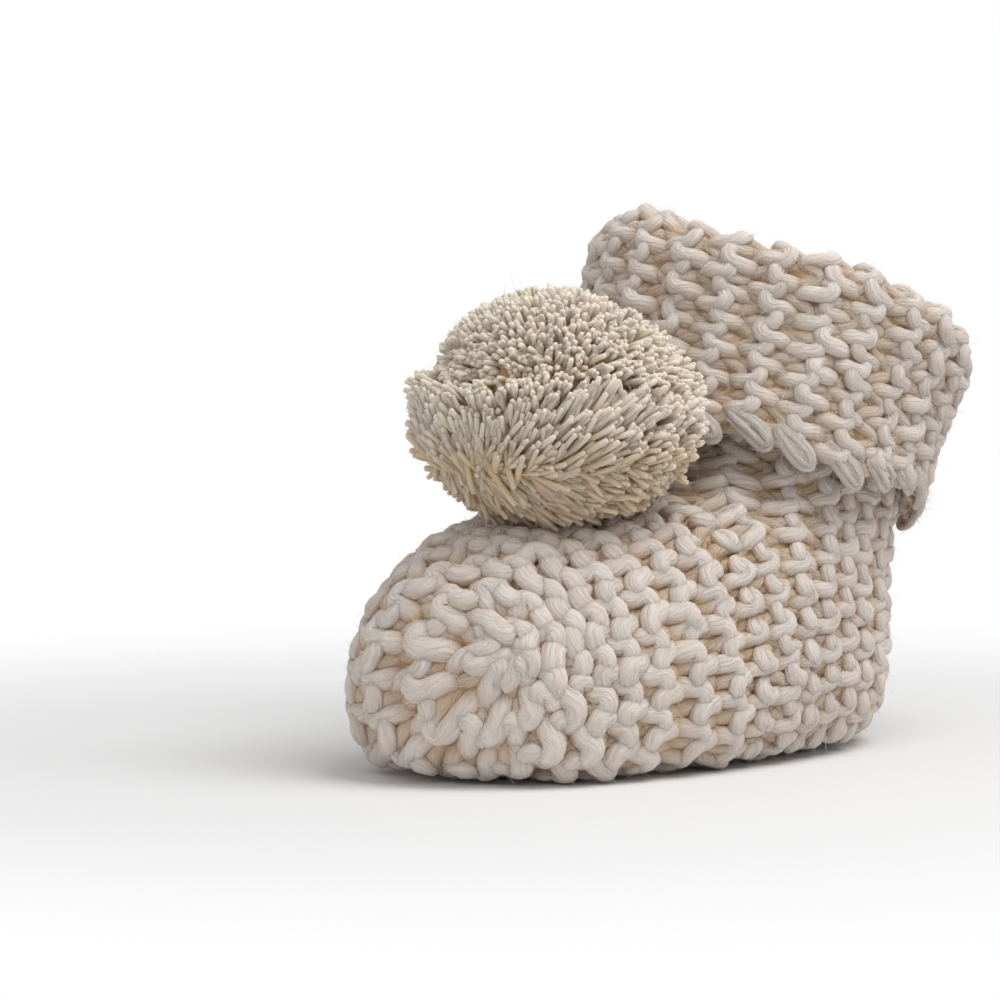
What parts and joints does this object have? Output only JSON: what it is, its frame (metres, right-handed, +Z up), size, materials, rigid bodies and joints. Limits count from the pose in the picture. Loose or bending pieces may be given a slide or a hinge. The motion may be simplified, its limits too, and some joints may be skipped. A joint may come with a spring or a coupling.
{
  "type": "baby bootie",
  "caption": "Hand-knitted garter-stitch baby bootie with a turned-down cuff, a gathered toe and a cut-yarn pompom on the instep.",
  "frame": {"origin": "centre of the flat sole face", "axes": "+Z up through the leg opening, +Y toward the heel, -Y toward the toe, X across the foot"},
  "size_m": [0.0584, 0.1079, 0.0749],
  "materials": {
    "knit_cream": "soft matt wool, garter stitch",
    "seam_yarn": "soft matt wool yarn",
    "pompom_yarn": "cut wool strands, matt"
  },
  "bodies": {
    "foot": {"foot_shell": "knit_cream", "toe_gather_yarn": "seam_yarn", "sole_seam_yarn": "seam_yarn", "heel_seam_yarn": "seam_yarn", "pompom_anchor_stitch": "pompom_yarn"},
    "leg": {"leg_shaft": "knit_cream", "leg_seam_yarn": "seam_yarn"},
    "cuff": {"cuff_fold": "knit_cream", "cuff_edge_chain": "knit_cream", "cuff_seam_yarn": "seam_yarn"},
    "pompom_neck": {"pompom_tail_neck": "pompom_yarn"},
    "pompom": {"pompom_strands": "pompom_yarn", "pompom_tie_yarn": "pompom_yarn"}
  },
  "joints": [
    {"name": "ankle_flex", "type": "hinge", "parent": "foot", "child": "leg", "pos_m": [0, 0.016, 0.014], "axis": [1, 0, 0], "range_deg": [-8, 5], "stiffness_Nm_per_rad": 0.05},
    {"name": "cuff_turn_up", "type": "slide", "parent": "leg", "child": "cuff", "axis": [0, 0.342, 0.9397], "range_m": [0, 0.024]},
    {"name": "pompom_nod", "type": "hinge", "parent": "foot", "child": "pompom_neck", "pos_m": [0, -0.02, 0.0357], "axis": [1, 0, 0], "range_deg": [-3, 12], "stiffness_Nm_per_rad": 0.01},
    {"name": "pompom_sway", "type": "hinge", "parent": "pompom_neck", "child": "pompom", "pos_m": [0, -0.02, 0.0357], "axis": [0, 1, 0], "range_deg": [-12, 12], "stiffness_Nm_per_rad": 0.01}
  ]
}
